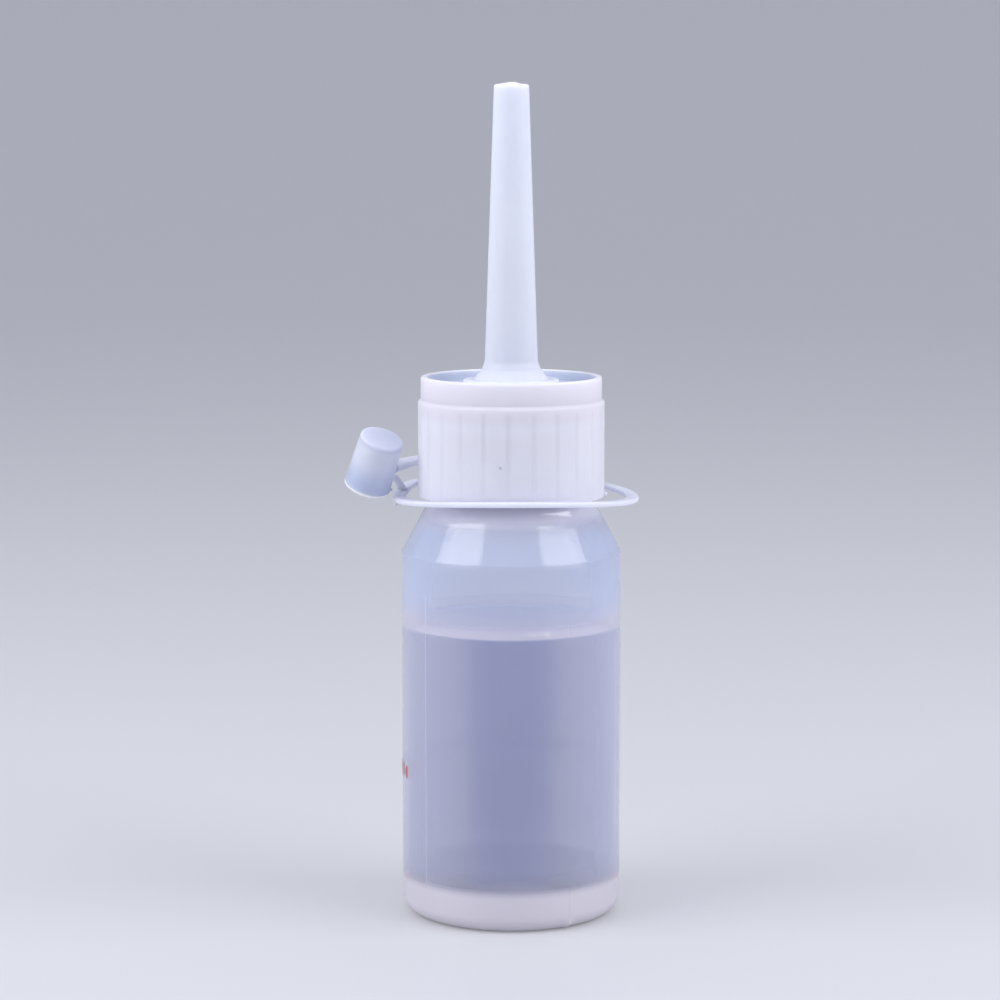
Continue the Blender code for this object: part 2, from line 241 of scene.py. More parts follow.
def swept(name, path, width, thickness, corner, loop, material, swell=None, lean=None):
    """A moulded band along path. swell(share) scales its section, and lean(share) gives its upward side."""
    section = band_section(width, thickness, corner)
    work = bmesh.new()
    rows = []
    count = len(path)
    for i, point in enumerate(path):
        before = path[i - 1] if loop or i else point
        after = path[(i + 1) % count] if loop or i < count - 1 else point
        run = (Vector(after) - Vector(before)).normalized()
        above = lean(i / (count - 1)) if lean else Vector((0.0, 0.0, 1.0))
        across = run.cross(above).normalized()
        up = across.cross(run)
        scale = swell(i / (count - 1)) if swell else 1.0
        rows.append([
            work.verts.new((Vector(point) + (across * a + up * b) * scale) * MM) for a, b in section
        ])
    pairs = list(zip(rows, rows[1:]))
    if loop:
        pairs.append((rows[-1], rows[0]))
    size = len(section)
    for first, second in pairs:
        for i in range(size):
            j = (i + 1) % size
            work.faces.new((first[i], first[j], second[j], second[i]))
    if not loop:
        work.faces.new(rows[0])
        work.faces.new(list(reversed(rows[-1])))
    bmesh.ops.recalc_face_normals(work, faces=work.faces)
    mesh = bpy.data.meshes.new(name)
    work.to_mesh(mesh)
    work.free()
    shade(mesh)
    return add_object(name, mesh, material)


def finish_nodes(piece):
    """Turns a Geometry Nodes result into a plain mesh and drops the modifier."""
    depsgraph = bpy.context.evaluated_depsgraph_get()
    mesh = bpy.data.meshes.new_from_object(piece.evaluated_get(depsgraph))
    old = piece.data
    piece.modifiers.clear()
    piece.data = mesh
    bpy.data.meshes.remove(old)
    mesh.name = piece.name
    shade(mesh)


# ------------------------------------------------------------------ node helpers
def link(tree, source, target):
    tree.links.new(source, target)


def maths(tree, operation, first, second=0.0):
    node = tree.nodes.new("ShaderNodeMath")
    node.operation = operation
    for socket, value in zip(node.inputs, (first, second)):
        if isinstance(value, (int, float)):
            socket.default_value = value
        else:
            link(tree, value, socket)
    return node.outputs[0]


def hypotenuse(tree, first, second):
    """The distance that two numbers at right angles make."""
    squares = maths(tree, "ADD", maths(tree, "POWER", first, 2.0), maths(tree, "POWER", second, 2.0))
    return maths(tree, "SQRT", squares)


def noise(tree, scale, detail=None):
    """A noise value over the object's own coordinates."""
    node = tree.nodes.new("ShaderNodeTexNoise")
    node.inputs["Scale"].default_value = scale
    if detail:
        node.inputs["Detail"].default_value = detail
    link(tree, tree.nodes.new("ShaderNodeTexCoord").outputs["Object"], node.inputs["Vector"])
    return node.outputs["Fac"]


def facing(tree, blend=None):
    """How far the surface turns away from the eye."""
    node = tree.nodes.new("ShaderNodeLayerWeight")
    if blend:
        node.inputs["Blend"].default_value = blend
    return node.outputs["Facing"]


def new_material(name):
    """A material with its tree and its shader."""
    material = bpy.data.materials.new(name)
    material.use_nodes = True
    tree = material.node_tree
    return material, tree, tree.nodes["Principled BSDF"]


def ramp(tree, value, low, high, out_low, out_high):
    """value from low..high, eased to out_low..out_high and held outside them."""
    node = tree.nodes.new("ShaderNodeMapRange")
    node.interpolation_type = "SMOOTHSTEP"
    link(tree, value, node.inputs["Value"])
    for socket, number in zip(("From Min", "From Max", "To Min", "To Max"), (low, high, out_low, out_high)):
        if isinstance(number, (int, float)):
            node.inputs[socket].default_value = number
        else:
            link(tree, number, node.inputs[socket])
    return node.outputs["Result"]


def blend_colour(tree, share, first, second):
    node = tree.nodes.new("ShaderNodeMix")
    node.data_type = "RGBA"
    for socket, value in ((node.inputs[0], share), (node.inputs[6], first), (node.inputs[7], second)):
        if isinstance(value, (int, float)):
            socket.default_value = value
        elif isinstance(value, tuple):
            socket.default_value = (*value, 1.0)
        else:
            link(tree, value, socket)
    return node.outputs[2]


def let_light_in(tree, solid, kept):
    """Milky plastic passes light on as glow, so it shades what is behind it less than it hides it."""
    path = tree.nodes.new("ShaderNodeLightPath")
    eased = maths(tree, "SUBTRACT", 1.0, maths(tree, "MULTIPLY", path.outputs["Is Shadow Ray"], 1.0 - kept))
    return maths(tree, "MULTIPLY", solid, eased)


def moulding_group():
    """Moulded polyethylene skin: clouding in the resin, slow sink marks, fine grain and rubbed scratches."""
    group = bpy.data.node_groups.new("moulded_skin", "ShaderNodeTree")
    sockets = (
        ("Grain", 900.0), ("Sink", 90.0), ("Cloud", 160.0), ("Rough Low", 0.3), ("Rough High", 0.42),
    )
    for name, value in sockets:
        socket = group.interface.new_socket(name, in_out="INPUT", socket_type="NodeSocketFloat")
        socket.default_value = value
    for name in ("Clouding", "Roughness", "Height"):
        group.interface.new_socket(name, in_out="OUTPUT", socket_type="NodeSocketFloat")
    inside = group.nodes.new("NodeGroupInput")
    outside = group.nodes.new("NodeGroupOutput")
    place = group.nodes.new("ShaderNodeTexCoord").outputs["Object"]

    def skin_noise(scale, detail, stretch=None):
        node = group.nodes.new("ShaderNodeTexNoise")
        node.inputs["Detail"].default_value = detail
        link(group, scale, node.inputs["Scale"])
        source = place
        if stretch:
            squash = group.nodes.new("ShaderNodeMapping")
            squash.inputs["Scale"].default_value = stretch
            link(group, place, squash.inputs["Vector"])
            source = squash.outputs["Vector"]
        link(group, source, node.inputs["Vector"])
        return node.outputs["Fac"]

    grain = skin_noise(inside.outputs["Grain"], 3.0)
    sink = skin_noise(inside.outputs["Sink"], 1.0, (1.0, 1.0, 0.45))
    cloud = skin_noise(inside.outputs["Cloud"], 4.0)
    scratch = skin_noise(inside.outputs["Grain"], 2.0, (1.6, 1.6, 0.05))
    rubbed = ramp(group, scratch, 0.60, 0.72, 0.0, 1.0)
    link(group, cloud, outside.inputs["Clouding"])
    worn = maths(group, "MULTIPLY_ADD", grain, 0.5)
    worn.node.inputs[2].default_value = 0.2
    worn = maths(group, "ADD", worn, maths(group, "MULTIPLY", rubbed, 0.12))
    rough = ramp(group, worn, 0.2, 0.9, inside.outputs["Rough Low"], inside.outputs["Rough High"])
    link(group, rough, outside.inputs["Roughness"])
    height = maths(group, "ADD", maths(group, "MULTIPLY", grain, 0.10), maths(group, "MULTIPLY", sink, 0.9))
    link(group, height, outside.inputs["Height"])
    return group


SKIN = moulding_group()


def plastic(name, colour, dim, alpha, subsurface, bump, rough, grain, cloud, gloss=0.15, sheen=0.08):
    """Milky polyethylene. Returns the material, its shader, its tree and what feeds its colour."""
    material, tree, shader = new_material(name)
    skin = tree.nodes.new("ShaderNodeGroup")
    skin.node_tree = SKIN
    skin.inputs["Grain"].default_value = grain
    skin.inputs["Cloud"].default_value = cloud
    skin.inputs["Rough Low"].default_value, skin.inputs["Rough High"].default_value = rough
    body = blend_colour(tree, ramp(tree, skin.outputs["Clouding"], 0.3, 0.7, 0.0, 1.0), dim, colour)
    link(tree, body, shader.inputs["Base Color"])
    link(tree, skin.outputs["Roughness"], shader.inputs["Roughness"])
    shader.inputs["Alpha"].default_value = alpha
    shader.inputs["IOR"].default_value = 1.51
    shader.inputs["Subsurface Weight"].default_value = subsurface
    shader.inputs["Subsurface Radius"].default_value = (1.0, 1.0, 1.0)
    shader.inputs["Subsurface Scale"].default_value = 0.003
    shader.inputs["Specular IOR Level"].default_value = gloss
    shader.inputs["Sheen Weight"].default_value = sheen
    shader.inputs["Sheen Roughness"].default_value = 0.3
    relief = tree.nodes.new("ShaderNodeBump")
    relief.inputs["Strength"].default_value = bump
    relief.inputs["Distance"].default_value = 0.0002
    link(tree, skin.outputs["Height"], relief.inputs["Height"])
    link(tree, relief.outputs["Normal"], shader.inputs["Normal"])
    return material, shader, tree, body


def place_parts(tree):
    """Object coordinates in millimetres: x, y, z, and the angle round the axis in degrees."""
    place = tree.nodes.new("ShaderNodeTexCoord").outputs["Object"]
    split = tree.nodes.new("ShaderNodeSeparateXYZ")
    link(tree, place, split.inputs[0])
    x, y, z = (maths(tree, "DIVIDE", split.outputs[i], MM) for i in range(3))
    angle = maths(tree, "MULTIPLY", maths(tree, "ARCTAN2", y, x), 180.0 / math.pi)
    return x, y, z, angle


# ------------------------------------------------------------------ finishes
def bottle_material():
    """Blown wall: clearer where thin; paler at the heavy base, partly its own thick plastic and partly a
    painted glow of light scattered in the base; paler under the neck, partly thicker plastic and partly
    painted light that lifts the closure's shade.
    """
    material, shader, tree, body = plastic(
        "milky_wall", (0.56, 0.625, 0.82), (0.52, 0.58, 0.775), 0.55, 0.0, 0.02, (0.115, 0.130), 420.0, 70.0,
        gloss=0.5, sheen=0.0,
    )
    shader.inputs["IOR"].default_value = 1.9
    z = place_parts(tree)[2]
    # Below this the base is paler and nearly opaque: its own heavy plastic, with a painted glow of the light
    # scattered in the base.
    base = ramp(tree, z, BASE_THICKNESS + 3.2, BASE_THICKNESS + 5.6, 1.0, 0.0)
    # Under the neck the wall is paler: thicker plastic, with painted light that lifts the shade the closure
    # casts there.
    throat = ramp(tree, z, NECK_Z - 6.6, NECK_Z - 3.4, 0.0, 1.0)
    heavy = maths(tree, "MAXIMUM", base, maths(tree, "MULTIPLY", throat, 0.8))
    soaked = ramp(tree, z, LIQUID_Z - 0.4, LIQUID_Z, 1.0, 0.0)
    tinted = blend_colour(tree, soaked, body, (0.52, 0.53, 0.69))
    tinted = blend_colour(tree, base, tinted, (0.63, 0.595, 0.67))
    tinted = blend_colour(tree, throat, tinted, (0.80, 0.78, 0.90))
    # Just above the liquid the wall turns paler and pinker: a wet film of glue, with a painted highlight
    # along the meniscus.
    film = ramp(tree, z, LIQUID_Z + 0.2, LIQUID_Z + 4.6, 1.0, 0.0)
    wet_film_and_glint = maths(tree, "MULTIPLY", film, ramp(tree, z, LIQUID_Z - 0.2, LIQUID_Z + 0.2, 0.0, 1.0))
    tinted = blend_colour(tree, maths(tree, "MULTIPLY", wet_film_and_glint, 0.7), tinted, (0.72, 0.66, 0.74))
    link(tree, tinted, shader.inputs["Base Color"])
    clear = ramp(tree, facing(tree, 0.35), 0.0, 0.9, 0.30, 0.68)
    solid = maths(tree, "MAXIMUM", clear, maths(tree, "MULTIPLY", heavy, 0.9))
    solid = maths(tree, "MAXIMUM", solid, maths(tree, "MULTIPLY", wet_film_and_glint, 0.5))
    link(tree, let_light_in(tree, solid, 0.35), shader.inputs["Alpha"])
    return material


def label_material():
    """Clear glossy film: its cut edges carry a painted highlight, and a row of red dots is printed round the
    back.
    """
    material, tree, shader = new_material("clear_film")
    z, angle = place_parts(tree)[2:]
    turned_on = maths(tree, "ADD", angle, 360.0 + DOT_STEP / 2)
    column = maths(tree, "SUBTRACT", maths(tree, "FLOORED_MODULO", turned_on, DOT_STEP), DOT_STEP / 2)
    across = maths(tree, "MULTIPLY", column, BODY_RADIUS * math.pi / 180.0)
    up = maths(tree, "SUBTRACT", z, DOT_Z)
    dot = ramp(tree, hypotenuse(tree, across, up), DOT_RADIUS, DOT_RADIUS + 0.12, 1.0, 0.0)
    along = maths(tree, "FLOORED_MODULO", maths(tree, "SUBTRACT", angle, LABEL_START), 360.0)
    from_middle = maths(tree, "ABSOLUTE", maths(tree, "SUBTRACT", along, DOT_MIDDLE))
    printed = maths(tree, "LESS_THAN", from_middle, DOT_REACH)
    dots = maths(tree, "MULTIPLY", dot, printed)
    # The cut edges are pale and less clear: a painted highlight along the film's edges.
    from_start = maths(tree, "ABSOLUTE", maths(tree, "SUBTRACT", angle, LABEL_START))
    from_end = maths(tree, "ABSOLUTE", maths(tree, "SUBTRACT", angle, LABEL_START + LABEL_SWEEP - 360.0))
    side = ramp(tree, maths(tree, "MINIMUM", from_start, from_end), 0.25, 0.9, 1.0, 0.0)
    foot = ramp(tree, maths(tree, "SUBTRACT", z, LABEL_LOW.z), 0.1, 0.25, 1.0, 0.0)
    head = ramp(tree, maths(tree, "SUBTRACT", LABEL_HIGH.z, z), 0.1, 0.25, 1.0, 0.0)
    edge = maths(tree, "MAXIMUM", side, maths(tree, "MULTIPLY", maths(tree, "MAXIMUM", foot, head), 0.3))
    haze = noise(tree, 120.0)
    film = blend_colour(tree, haze, (0.60, 0.57, 0.66), (0.66, 0.63, 0.70))
    film = blend_colour(tree, edge, film, (0.90, 0.90, 0.98))
    link(tree, blend_colour(tree, dots, film, (0.42, 0.02, 0.03)), shader.inputs["Base Color"])
    link(tree, ramp(tree, haze, 0.3, 0.7, 0.12, 0.14), shader.inputs["Roughness"])
    solid = maths(tree, "MAXIMUM", maths(tree, "MULTIPLY", edge, 0.32), 0.07)
    solid = maths(tree, "MAXIMUM", solid, maths(tree, "MULTIPLY", dots, 0.9))
    link(tree, let_light_in(tree, solid, 0.4), shader.inputs["Alpha"])
    return material


def glue_material():
    """Thin clear glue with a blue-grey body, with a painted reflection that pales its sides and a painted
    highlight on its top face, and clearer where it thins over the base.
    """
    material, tree, shader = new_material("clear_glue")
    cloud = noise(tree, 60.0, 3.0)
    z = place_parts(tree)[2]
    body = blend_colour(tree, cloud, (0.125, 0.165, 0.43), (0.15, 0.19, 0.46))
    # Paler where it turns away from the eye: a painted reflection of the side lamps.
    turned_away = ramp(tree, facing(tree), 0.03, 0.18, 0.0, 1.0)
    body = blend_colour(tree, turned_away, body, (0.36, 0.375, 0.54))
    # Paler at the top face: a painted highlight along the liquid's surface.
    surface = ramp(tree, z, LIQUID_Z - 0.3, LIQUID_Z, 0.0, 1.0)
    link(tree, blend_colour(tree, surface, body, (0.60, 0.62, 0.78)), shader.inputs["Base Color"])
    link(tree, ramp(tree, cloud, 0.3, 0.7, 0.05, 0.12), shader.inputs["Roughness"])
    depth = ramp(tree, turned_away, 0.0, 1.0, 0.80, 0.56)
    above_base = ramp(tree, z, BASE_THICKNESS + 2.0, BASE_THICKNESS + 8.0, 0.06, 1.0)
    solid = maths(tree, "MULTIPLY", depth, above_base)
    solid = maths(tree, "MAXIMUM", solid, maths(tree, "MULTIPLY", surface, 0.82))
    link(tree, let_light_in(tree, solid, 0.3), shader.inputs["Alpha"])
    shader.inputs["IOR"].default_value = 1.36
    return material


def bubble_material():
    """Froth skins: pale, a little clearer where they face the eye."""
    material, tree, shader = new_material("froth")
    fleck = noise(tree, 1500.0)
    link(tree, blend_colour(tree, fleck, (0.80, 0.82, 0.92), (0.95, 0.95, 1.0)), shader.inputs["Base Color"])
    link(tree, ramp(tree, fleck, 0.3, 0.7, 0.04, 0.10), shader.inputs["Roughness"])
    link(tree, ramp(tree, facing(tree, 0.3), 0.1, 0.8, 0.75, 1.0), shader.inputs["Alpha"])
    return material


def nozzle_material():
    """Natural spout plastic, palest at its thin cut tip."""
    material, shader, tree, body = plastic(
        "natural_spout", (0.69, 0.715, 0.82), (0.675, 0.70, 0.805), 1.0, 0.7, 0.004, (0.29, 0.31),
        1100.0, 120.0,
    )
    z = place_parts(tree)[2]
    tip = ramp(tree, z, TIP_Z - 1.2, TIP_Z, 0.0, 1.0)
    link(tree, blend_colour(tree, tip, body, (0.80, 0.82, 0.95)), shader.inputs["Base Color"])
    return material


def cap_material():
    """Moulded closure: bluish in the threaded skirt, warmer in the top band, and darker in the sunk panel,
    where shade is painted in.
    """
    material, shader, tree, body = plastic(
        "closure_plastic", (0.735, 0.735, 0.835), (0.715, 0.715, 0.815), 1.0, 0.7, 0.03, (0.29, 0.33),
        1000.0, 110.0,
    )
    x, y, z = place_parts(tree)[:3]
    top = ramp(tree, z, RIB_TOP_Z - 2.2, RIB_TOP_Z - 0.4, 0.0, 1.0)
    colour = blend_colour(tree, top, body, (0.70, 0.68, 0.76))
    rim = ramp(tree, z, SKIRT_TOP_Z - 0.3, SKIRT_TOP_Z + 0.3, 0.0, 1.0)
    colour = blend_colour(tree, rim, colour, (0.68, 0.66, 0.73))
    # Painted shade: the sunk panel and its wall are darkened where the recess shades them.
    inside = maths(tree, "LESS_THAN", hypotenuse(tree, x, y), RECESS_RADIUS + 0.05)
    painted_recess_shade = maths(tree, "MULTIPLY", inside, rim)
    link(tree, blend_colour(tree, painted_recess_shade, colour, (0.50, 0.54, 0.66)), shader.inputs["Base Color"])
    return material


def tether_material():
    """The soft band, with the plainest and roughest skin of the closure's parts."""
    return plastic(
        "tether_plastic", (0.67, 0.68, 0.81), (0.63, 0.64, 0.77), 0.98, 0.6, 0.12, (0.30, 0.48), 1200.0, 260.0
    )[0]


def tip_cap_material():
    """Thin-walled cup: bluer down its open end, greyer at its thick roof, with a painted highlight on the
    edge at the mouth.
    """
    material, shader, tree, body = plastic(
        "tip_cap_plastic", (0.70, 0.73, 0.86), (0.665, 0.695, 0.83), 0.80, 0.6, 0.08, (0.30, 0.42),
        1000.0, 160.0,
    )
    place = tree.nodes.new("ShaderNodeTexCoord").outputs["Object"]
    from_middle = tree.nodes.new("ShaderNodeVectorMath")
    from_middle.operation = "SUBTRACT"
    link(tree, place, from_middle.inputs[0])
    from_middle.inputs[1].default_value = TIP_CAP_CENTRE * MM
    along = tree.nodes.new("ShaderNodeVectorMath")
    along.operation = "DOT_PRODUCT"
    link(tree, from_middle.outputs["Vector"], along.inputs[0])
    along.inputs[1].default_value = TIP_CAP_AXIS
    height = maths(tree, "DIVIDE", along.outputs["Value"], MM)
    half = TIP_CAP_LENGTH / 2
    # The mouth's cut edge is pale: a painted highlight.
    mouth = ramp(tree, height, 0.3 - half, 0.55 - half, 1.0, 0.0)
    roof = ramp(tree, height, half - TIP_CAP_ROOF - 0.5, half - 0.3, 0.0, 1.0)
    open_end = ramp(tree, height, -half, half * 0.4, 1.0, 0.0)
    colour = blend_colour(tree, maths(tree, "MULTIPLY", open_end, 0.85), body, (0.40, 0.48, 0.74))
    colour = blend_colour(tree, maths(tree, "MULTIPLY", roof, 0.7), colour, (0.51, 0.53, 0.67))
    link(tree, blend_colour(tree, mouth, colour, (0.95, 0.95, 0.99)), shader.inputs["Base Color"])
    thick = maths(tree, "MAXIMUM", mouth, roof)
    solid = maths(tree, "MAXIMUM", ramp(tree, open_end, 0.0, 1.0, 0.84, 0.62), thick)
    link(tree, let_light_in(tree, solid, 0.5), shader.inputs["Alpha"])
    return material


def floor_material():
    """Pale painted board with a faint sheen."""
    material, _, shader = new_material("sweep")
    shader.inputs["Base Color"].default_value = (0.60, 0.605, 0.62, 1.0)
    shader.inputs["Roughness"].default_value = 0.32
    shader.inputs["Specular IOR Level"].default_value = 0.15
    return material


# ------------------------------------------------------------------ pieces
def bottle_angles():
    """Even steps, with extra ones close to the two mould parting lines."""
    angles = set(even_angles(160))
    for line in (PARTING_ANGLE, PARTING_ANGLE + 180.0):
        for offset in (-1.0, -0.6, -0.3, 0.0, 0.3, 0.6, 1.0):
            angles.add(math.radians(line + offset) % (2 * math.pi))
    return sorted(angles)


def parting_ridge(angle, radius, z):
    """The raised line left where the two mould halves met, on the outside only."""
    if (radius < NECK_RADIUS + 0.2 and z < LIP_Z - 10.0) or z > NECK_Z:
        return radius
    lift = 0.0
    for line in (PARTING_ANGLE, PARTING_ANGLE + 180.0):
        away = (math.degrees(angle) - line + 180.0) % 360.0 - 180.0
        lift += PARTING_RIDGE * math.exp(-((away / 0.45) ** 2))
        if z < 1.2:
            lift += PINCH_LIFT * math.exp(-((away / 2.0) ** 2))
    return radius + lift


def cone_radius(z):
    """Outer radius of the shoulder cone at height z."""
    slope = (BAND_RADIUS - 0.3 - NECK_RADIUS) / (NECK_Z - SHOULDER_Z - 0.6)
    return NECK_RADIUS + slope * (NECK_Z - z)


def dome(radius):
    """How far the base is pushed up at this radius."""
    return DOME_RISE * math.cos(min(1.0, radius / DOME_RADIUS) * math.pi / 2) ** 2


def dome_points(level, sign):
    """Outline points across the pushed-up base, outwards for sign 1 and inwards for sign -1."""
    shares = [i / 10 for i in range(11)][::sign]
    return [(DOME_RADIUS * share, level + dome(DOME_RADIUS * share), 0) for share in shares]


def make_bottle(material):
    inner = BODY_RADIUS - WALL
    foot = SHOULDER_Z + 0.3
    corners = [
        *dome_points(BASE_THICKNESS, 1),
        (inner, BASE_THICKNESS, BASE_FILLET - 1.2),
        (inner, PANEL_STEP_Z - PANEL_STEP_HALF, PANEL_STEP_FILLET),
        (BAND_RADIUS - WALL, PANEL_STEP_Z + PANEL_STEP_HALF, PANEL_STEP_FILLET),
        (BAND_RADIUS - WALL, foot - 0.9, 1.5),
        (BORE_RADIUS, NECK_Z - 0.4, 1.5),
        (BORE_RADIUS, LIP_Z, 0.3),
        (NECK_RADIUS, LIP_Z, 0.4),
        (NECK_RADIUS, NECK_Z, 0.5),
        (cone_radius(foot) - 0.02, foot + 0.15, 0.25),
        (BAND_RADIUS + 0.05, foot - 0.25, 0.2),
        (BAND_RADIUS - 0.05, foot - 0.75, 0.3),
        (BAND_RADIUS - 0.02, PANEL_STEP_Z + PANEL_STEP_HALF, PANEL_STEP_FILLET),
        (PANEL_RADIUS, PANEL_STEP_Z - PANEL_STEP_HALF, PANEL_STEP_FILLET),
        (PANEL_RADIUS, 0.0, BASE_FILLET),
        *dome_points(0.0, -1),
    ]
    bottle = turned("bottle_shell", rounded(corners, steps=8), bottle_angles(), material, shape=parting_ridge)
    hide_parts("bottle_body")
    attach(bottle, "bottle")


def make_glue(material):
    radius = BODY_RADIUS - WALL - GLUE_GAP
    floor = BASE_THICKNESS + GLUE_GAP
    corners = [
        (0.0, LIQUID_Z, 0),
        (radius - 0.9, LIQUID_Z, 1.2),
        (radius, GLUE_HIGH.z, 0.05),
        (radius, floor, BASE_FILLET - 1.25),
        *dome_points(floor, -1),
    ]
    glue = turned("glue", rounded(corners, steps=8), even_angles(160), material)
    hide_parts("glue_fill")
    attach(glue, "bottle")


def tree_with(name, numbers):
    """An empty Geometry Nodes tree with named number inputs and a finish."""
    tree = bpy.data.node_groups.new(name, "GeometryNodeTree")
    add = tree.interface.new_socket
    add("Geometry", in_out="INPUT", socket_type="NodeSocketGeometry")
    for label in numbers:
        add(label, in_out="INPUT", socket_type="NodeSocketFloat")
    add("Finish", in_out="INPUT", socket_type="NodeSocketMaterial")
    add("Geometry", in_out="OUTPUT", socket_type="NodeSocketGeometry")
    return tree, tree.nodes.new("NodeGroupInput"), tree.nodes.new("NodeGroupOutput")


def bubble_tree():
    """A little raft of bubbles scattered along an arc at the glue's surface."""
    names = ("Radius", "Height", "Start Angle", "Sweep", "Count", "Size")
    tree, inside, outside = tree_with("bubble_raft", names)
    points = tree.nodes.new("GeometryNodePoints")
    count = tree.nodes.new("FunctionNodeFloatToInt")
    link(tree, inside.outputs["Count"], count.inputs[0])
    link(tree, count.outputs[0], points.inputs["Count"])
    index = tree.nodes.new("GeometryNodeInputIndex").outputs[0]

    def scatter(seed):
        node = tree.nodes.new("FunctionNodeRandomValue")
        node.data_type = "FLOAT"
        node.inputs["Seed"].default_value = seed
        return next(socket for socket in node.outputs if socket.enabled)

    share = maths(tree, "DIVIDE", index, inside.outputs["Count"])
    spread = maths(tree, "MULTIPLY", scatter(3), 0.12)
    turn = maths(tree, "MULTIPLY", maths(tree, "ADD", share, spread), inside.outputs["Sweep"])
    turn = maths(tree, "ADD", turn, inside.outputs["Start Angle"])
    join = tree.nodes.new("ShaderNodeCombineXYZ")
    link(tree, maths(tree, "MULTIPLY", maths(tree, "COSINE", turn), inside.outputs["Radius"]), join.inputs[0])
    link(tree, maths(tree, "MULTIPLY", maths(tree, "SINE", turn), inside.outputs["Radius"]), join.inputs[1])
    link(tree, inside.outputs["Height"], join.inputs[2])
    link(tree, join.outputs[0], points.inputs["Position"])
    ball = tree.nodes.new("GeometryNodeMeshIcoSphere")
    ball.inputs["Subdivisions"].default_value = 3
    link(tree, inside.outputs["Size"], ball.inputs["Radius"])
    place = tree.nodes.new("GeometryNodeInstanceOnPoints")
    link(tree, points.outputs[0], place.inputs["Points"])
    link(tree, ball.outputs["Mesh"], place.inputs["Instance"])
    link(tree, maths(tree, "ADD", maths(tree, "MULTIPLY", scatter(7), 0.7), 0.5), place.inputs["Scale"])
    close_tree(tree, place.outputs["Instances"], inside, outside)
    return tree


def make_bubbles(material):
    bubbles = add_object("bubbles", bpy.data.meshes.new("bubbles"), material)
    use_tree(
        bubbles, bubble_tree(), Radius=(BODY_RADIUS - WALL - 0.36) * MM, Height=(LIQUID_Z + 0.5) * MM,
        Start_Angle=math.radians(-81.0), Sweep=math.radians(15.0), Count=7.0, Size=0.52 * MM, Finish=material,
    )
    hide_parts("glue_fill")
    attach(bubbles, "bottle")


def thread_tree():
    """A screw ridge: a round bead swept up a helix and tapered to nothing at both ends."""
    names = ("Turns", "Ridge Radius", "Rise", "Ridge Size", "Start Height", "Start Angle")
    tree, inside, outside = tree_with("screw_ridge", names)
    helix = tree.nodes.new("GeometryNodeCurveSpiral")
    helix.inputs["Resolution"].default_value = 64
    helix.inputs["Reverse"].default_value = False
    link(tree, inside.outputs["Turns"], helix.inputs["Rotations"])
    link(tree, inside.outputs["Ridge Radius"], helix.inputs["Start Radius"])
    link(tree, inside.outputs["Ridge Radius"], helix.inputs["End Radius"])
    link(tree, inside.outputs["Rise"], helix.inputs["Height"])
    factor = tree.nodes.new("GeometryNodeSplineParameter").outputs["Factor"]
    near_end = maths(tree, "MINIMUM", factor, maths(tree, "SUBTRACT", 1.0, factor))
    taper = tree.nodes.new("GeometryNodeSetCurveRadius")
    link(tree, helix.outputs["Curve"], taper.inputs["Curve"])
    link(tree, ramp(tree, near_end, 0.0, 0.07, 0.15, 1.0), taper.inputs["Radius"])
    bead = tree.nodes.new("GeometryNodeCurvePrimitiveCircle")
    bead.inputs["Resolution"].default_value = 12
    link(tree, inside.outputs["Ridge Size"], bead.inputs["Radius"])
    sweep = tree.nodes.new("GeometryNodeCurveToMesh")
    link(tree, taper.outputs["Curve"], sweep.inputs["Curve"])
    link(tree, bead.outputs["Curve"], sweep.inputs["Profile Curve"])
    sweep.inputs["Fill Caps"].default_value = True
    lift = tree.nodes.new("ShaderNodeCombineXYZ")
    link(tree, inside.outputs["Start Height"], lift.inputs[2])
    turn = tree.nodes.new("ShaderNodeCombineXYZ")
    link(tree, inside.outputs["Start Angle"], turn.inputs[2])
    move = tree.nodes.new("GeometryNodeTransform")
    link(tree, sweep.outputs["Mesh"], move.inputs["Geometry"])
    link(tree, lift.outputs[0], move.inputs["Translation"])
    link(tree, turn.outputs[0], move.inputs["Rotation"])
    close_tree(tree, move.outputs["Geometry"], inside, outside)
    return tree


def make_threads(neck_finish, cap_finish):
    """The neck's ridge and, half a pitch lower, the closure's."""
    tree = thread_tree()
    rows = (
        ("neck_thread", NECK_THREAD_RADIUS, NECK_THREAD_SIZE, THREAD_START_Z, "bottle_body", "milky_plastic",
         "bottle", neck_finish),
        ("closure_thread", CAP_THREAD_RADIUS, CAP_THREAD_SIZE, THREAD_START_Z - PITCH / 2, "screw_cap",
         "cap_plastic", "screw_cap", cap_finish),
    )
    for name, radius, size, start, node, slot, body, finish in rows:
        ridge = add_object(name, bpy.data.meshes.new(name), finish)
        use_tree(
            ridge, tree, Turns=THREAD_TURNS, Ridge_Radius=radius * MM, Rise=THREAD_TURNS * PITCH * MM,
            Ridge_Size=size * MM, Start_Height=start * MM, Start_Angle=0.0, Finish=finish,
        )
        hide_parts(node)
        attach(ridge, body)


def make_label(material):
    """The film lies on the wall from the right front round the back to the left front."""
    radius = BODY_RADIUS - LABEL_THICKNESS / 2
    work = bmesh.new()
    rows = []
    for i in range(LABEL_STEPS + 1):
        turn = math.radians(LABEL_START + LABEL_SWEEP * i / LABEL_STEPS)
        side = Vector((radius * math.cos(turn), radius * math.sin(turn), 0.0))
        heights = (LABEL_LOW.z, LABEL_HIGH.z)
        rows.append([work.verts.new((side + Vector((0.0, 0.0, z))) * MM) for z in heights])
    for first, second in zip(rows, rows[1:]):
        work.faces.new((first[0], second[0], second[1], first[1]))
    mesh = bpy.data.meshes.new("label_film")
    work.to_mesh(mesh)
    work.free()
    shade(mesh)
    film = add_object("label_film", mesh, material)
    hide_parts("label")
    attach(film, "bottle")


